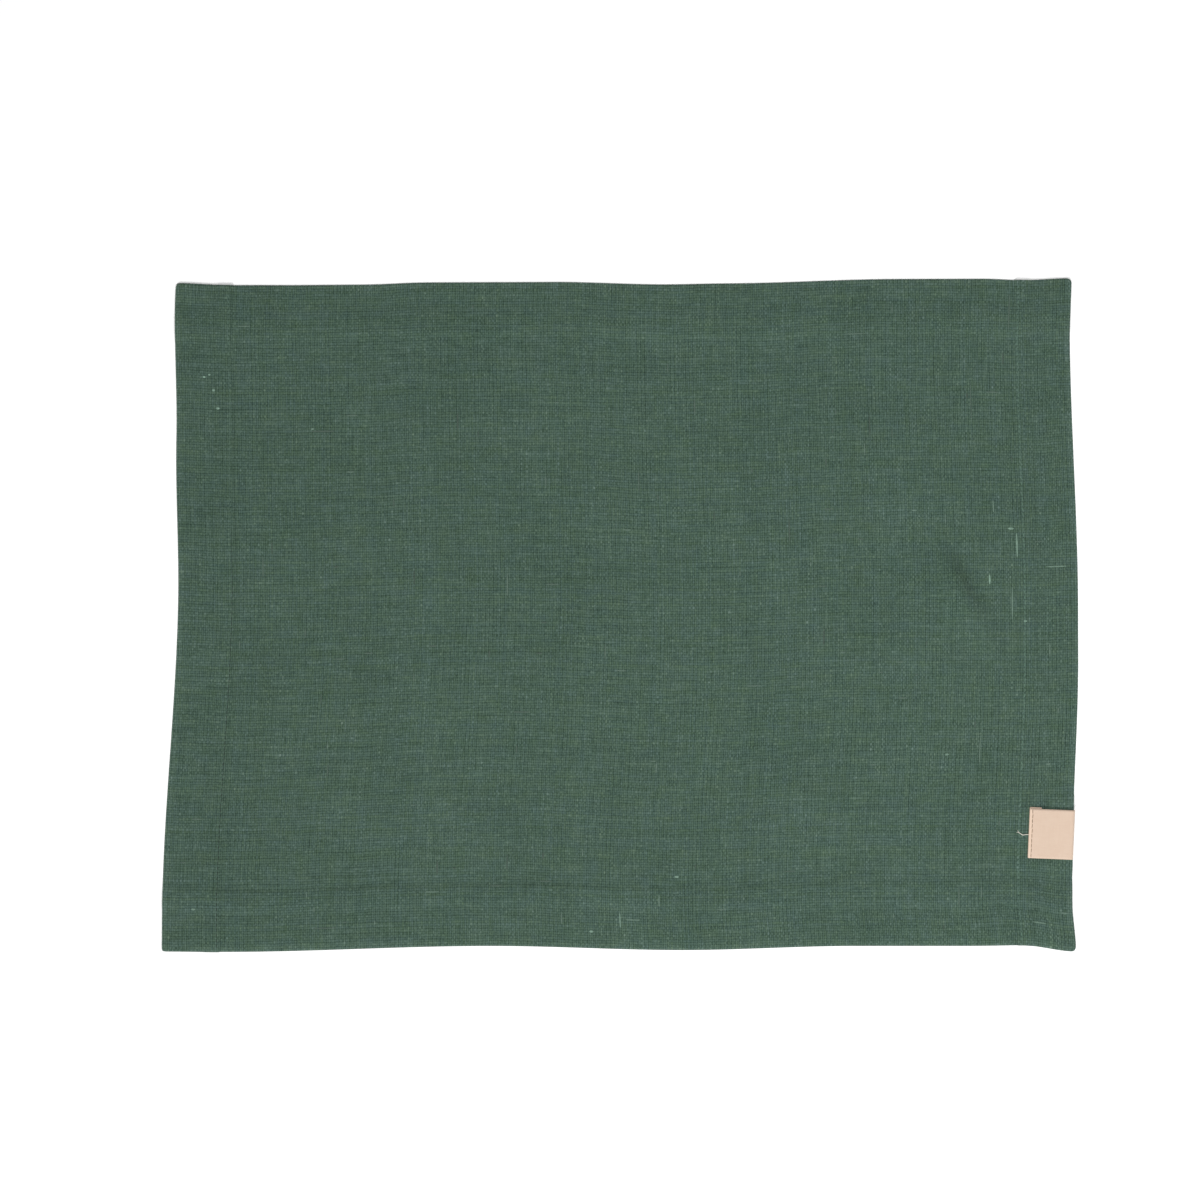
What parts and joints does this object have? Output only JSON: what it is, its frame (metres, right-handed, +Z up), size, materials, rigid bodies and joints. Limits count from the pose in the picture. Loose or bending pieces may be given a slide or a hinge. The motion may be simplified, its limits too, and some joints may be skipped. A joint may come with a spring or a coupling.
{
  "type": "fabric placemat",
  "caption": "Rectangular linen placemat with turned and stitched hems, lying flat under a table setting, with a blank tape label folded round its right-hand edge.",
  "frame": {"origin": "on the table under the middle of the mat", "axes": "+X to the right along the long sides, +Y away from the person at the table, +Z up through the cloth"},
  "size_m": [0.5073, 0.3728, 0.0047],
  "materials": {
    "linen": "matte slubby plain weave, dark green",
    "tape": "matte cotton tape, pale beige, unprinted"
  },
  "bodies": {
    "root": {"mat": "linen", "label": "tape"}
  },
  "joints": []
}
